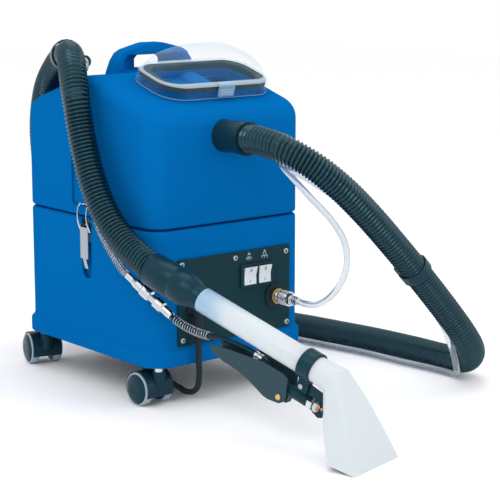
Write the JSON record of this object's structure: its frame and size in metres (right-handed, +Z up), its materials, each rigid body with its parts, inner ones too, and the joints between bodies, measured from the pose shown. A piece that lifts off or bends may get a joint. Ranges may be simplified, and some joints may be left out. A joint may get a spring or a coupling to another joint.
{
  "type": "carpet cleaner machine",
  "caption": "Portable spray-extraction carpet cleaner: latched blue tank on a wheeled body, clear dome lid, ribbed vacuum hose, solution hose and hand tool with a trigger.",
  "frame": {"origin": "middle of the footprint of the machine and its hand tool on the floor, with the free hoses and lead left out", "axes": "+Z up, -Y towards the control panel and the hand tool, +X to the right seen from the rear"},
  "size_m": [0.5769, 1.053, 0.5344],
  "materials": {
    "blue_plastic": "satin moulded blue",
    "black_plastic": "satin black",
    "panel_grey": "satin dark grey",
    "white_plastic": "milky white",
    "clear_plastic": "clear",
    "grey_tread": "grey tread",
    "rubber_black": "black rubber",
    "chrome": "polished",
    "brass": "machined",
    "hose_black": "ribbed black hose",
    "hose_clear": "clear hose"
  },
  "bodies": {
    "machine": {"wand_tube": "white_plastic", "collar_clamp": "black_plastic", "valve_body": "black_plastic", "trigger_pin": "brass", "valve_pipe": "black_plastic", "spray_jet": "brass", "tool_coupling": "chrome", "suction_nozzle": "white_plastic", "lower_body": "blue_plastic", "base_plate": "black_plastic", "solution_tank": "white_plastic", "vacuum_motor": "black_plastic", "pump": "black_plastic", "control_panel": "panel_grey", "switch_frame": "black_plastic", "coupling_washer": "rubber_black", "coupling_socket": "brass", "hose_tail": "chrome", "cord_gland": "rubber_black", "recovery_tank": "blue_plastic", "lid_gasket": "rubber_black", "float_cage": "black_plastic", "latch_bracket_left": "chrome", "latch_bracket_right": "chrome", "vacuum_hose": "hose_black", "solution_hose": "hose_clear", "hose_clip_a": "black_plastic", "hose_clip_b": "black_plastic", "power_cord": "rubber_black", "power_cord_coil": "rubber_black", "power_plug": "rubber_black"},
    "caster_front_left": {"caster_stem_front_left": "chrome", "caster_hood_front_left": "black_plastic"},
    "wheel_front_left_a": {"caster_wheel_front_left_a": "grey_tread"},
    "wheel_front_left_b": {"caster_wheel_front_left_b": "grey_tread"},
    "caster_front_right": {"caster_stem_front_right": "chrome", "caster_hood_front_right": "black_plastic"},
    "wheel_front_right_a": {"caster_wheel_front_right_a": "grey_tread"},
    "wheel_front_right_b": {"caster_wheel_front_right_b": "grey_tread"},
    "caster_rear_left": {"caster_stem_rear_left": "chrome", "caster_hood_rear_left": "black_plastic"},
    "wheel_rear_left_a": {"caster_wheel_rear_left_a": "grey_tread"},
    "wheel_rear_left_b": {"caster_wheel_rear_left_b": "grey_tread"},
    "caster_rear_right": {"caster_stem_rear_right": "chrome", "caster_hood_rear_right": "black_plastic"},
    "wheel_rear_right_a": {"caster_wheel_rear_right_a": "grey_tread"},
    "wheel_rear_right_b": {"caster_wheel_rear_right_b": "grey_tread"},
    "rocker_pump": {"rocker_pump": "white_plastic"},
    "rocker_vacuum": {"rocker_vacuum": "white_plastic"},
    "latch_lever_left": {"latch_lever_left": "chrome"},
    "latch_bail_left": {"latch_bail_left": "chrome"},
    "latch_lever_right": {"latch_lever_right": "chrome"},
    "latch_bail_right": {"latch_bail_right": "chrome"},
    "dome_lid": {"dome_lid": "clear_plastic", "lid_clip": "clear_plastic"},
    "float_ball": {"float_ball": "white_plastic"},
    "inlet_cuff": {"inlet_cuff": "black_plastic"},
    "tool_cuff": {"tool_cuff": "black_plastic"},
    "coupling_sleeve": {"coupling_sleeve": "chrome"},
    "trigger_lever": {"trigger_lever": "black_plastic"}
  },
  "joints": [
    {"name": "caster_swivel_front_left", "type": "hinge", "parent": "machine", "child": "caster_front_left", "pos_m": [-0.10979, 0.03164, 0.05002], "axis": [0, 0, 1], "continuous": true},
    {"name": "wheel_spin_front_left_a", "type": "hinge", "parent": "caster_front_left", "child": "wheel_front_left_a", "pos_m": [-0.11056, 0.05362, 0.02552], "axis": [0.9994, 0.0349, 0], "continuous": true},
    {"name": "wheel_spin_front_left_b", "type": "hinge", "parent": "caster_front_left", "child": "wheel_front_left_b", "pos_m": [-0.11056, 0.05362, 0.02552], "axis": [0.9994, 0.0349, 0], "continuous": true},
    {"name": "caster_swivel_front_right", "type": "hinge", "parent": "machine", "child": "caster_front_right", "pos_m": [0.14421, 0.03164, 0.05002], "axis": [0, 0, 1], "continuous": true},
    {"name": "wheel_spin_front_right_a", "type": "hinge", "parent": "caster_front_right", "child": "wheel_front_right_a", "pos_m": [0.13964, 0.05316, 0.02552], "axis": [0.9781, 0.2079, 0], "continuous": true},
    {"name": "wheel_spin_front_right_b", "type": "hinge", "parent": "caster_front_right", "child": "wheel_front_right_b", "pos_m": [0.13964, 0.05316, 0.02552], "axis": [0.9781, 0.2079, 0], "continuous": true},
    {"name": "caster_swivel_rear_left", "type": "hinge", "parent": "machine", "child": "caster_rear_left", "pos_m": [-0.10979, 0.34164, 0.05002], "axis": [0, 0, 1], "continuous": true},
    {"name": "wheel_spin_rear_left_a", "type": "hinge", "parent": "caster_rear_left", "child": "wheel_rear_left_a", "pos_m": [-0.10447, 0.36298, 0.02552], "axis": [0.9703, -0.2419, 0], "continuous": true},
    {"name": "wheel_spin_rear_left_b", "type": "hinge", "parent": "caster_rear_left", "child": "wheel_rear_left_b", "pos_m": [-0.10447, 0.36298, 0.02552], "axis": [0.9703, -0.2419, 0], "continuous": true},
    {"name": "caster_swivel_rear_right", "type": "hinge", "parent": "machine", "child": "caster_rear_right", "pos_m": [0.14421, 0.34164, 0.05002], "axis": [0, 0, 1], "continuous": true},
    {"name": "wheel_spin_rear_right_a", "type": "hinge", "parent": "caster_rear_right", "child": "wheel_rear_right_a", "pos_m": [0.14115, 0.36342, 0.02552], "axis": [0.9903, 0.1392, 0], "continuous": true},
    {"name": "wheel_spin_rear_right_b", "type": "hinge", "parent": "caster_rear_right", "child": "wheel_rear_right_b", "pos_m": [0.14115, 0.36342, 0.02552], "axis": [0.9903, 0.1392, 0], "continuous": true},
    {"name": "rocker_pump_tilt", "type": "hinge", "parent": "machine", "child": "rocker_pump", "pos_m": [0.05071, 0.01064, 0.18102], "axis": [1, 0, 0], "range_deg": [-14, 0]},
    {"name": "rocker_vacuum_tilt", "type": "hinge", "parent": "machine", "child": "rocker_vacuum", "pos_m": [0.07971, 0.01064, 0.18102], "axis": [1, 0, 0], "range_deg": [-14, 0]},
    {"name": "latch_lever_left_swing", "type": "hinge", "parent": "machine", "child": "latch_lever_left", "pos_m": [-0.12629, 0.19164, 0.25502], "axis": [0, 1, 0], "range_deg": [0, 115]},
    {"name": "latch_bail_left_swing", "type": "hinge", "parent": "latch_lever_left", "child": "latch_bail_left", "pos_m": [-0.12929, 0.19164, 0.24502], "axis": [0, 1, 0], "range_deg": [-116, 0]},
    {"name": "latch_lever_right_swing", "type": "hinge", "parent": "machine", "child": "latch_lever_right", "pos_m": [0.16071, 0.19164, 0.25502], "axis": [0, -1, 0], "range_deg": [0, 115]},
    {"name": "latch_bail_right_swing", "type": "hinge", "parent": "latch_lever_right", "child": "latch_bail_right", "pos_m": [0.16371, 0.19164, 0.24502], "axis": [0, -1, 0], "range_deg": [-116, 0]},
    {"name": "dome_lid_lift", "type": "slide", "parent": "machine", "child": "dome_lid", "axis": [0, -0.2891, 0.9573], "range_m": [0, 0.09]},
    {"name": "float_ball_rise", "type": "slide", "parent": "machine", "child": "float_ball", "axis": [0, 0, 1], "range_m": [0, 0.023]},
    {"name": "inlet_cuff_swivel", "type": "hinge", "parent": "machine", "child": "inlet_cuff", "pos_m": [0.00521, 0.00164, 0.39952], "axis": [0, 1, 0], "continuous": true},
    {"name": "tool_cuff_swivel", "type": "hinge", "parent": "machine", "child": "tool_cuff", "pos_m": [-0.13391, -0.06102, 0.20048], "axis": [-0.2201, 0.9166, 0.3338], "continuous": true},
    {"name": "coupling_sleeve_pull", "type": "slide", "parent": "machine", "child": "coupling_sleeve", "axis": [0, 1, 0], "range_m": [0, 0.005], "stiffness_N_per_m": 600, "springref_m": -0.002},
    {"name": "trigger_squeeze", "type": "hinge", "parent": "machine", "child": "trigger_lever", "pos_m": [-0.09227, -0.23444, 0.07262], "axis": [0.9724, 0.2334, 0], "range_deg": [0, 4], "stiffness_Nm_per_rad": 1.2, "springref_deg": -4.58}
  ],
  "couplings": [
    {"joint": "latch_bail_left_swing", "follows": "latch_lever_left_swing", "ratio": -1},
    {"joint": "latch_bail_right_swing", "follows": "latch_lever_right_swing", "ratio": -1}
  ]
}
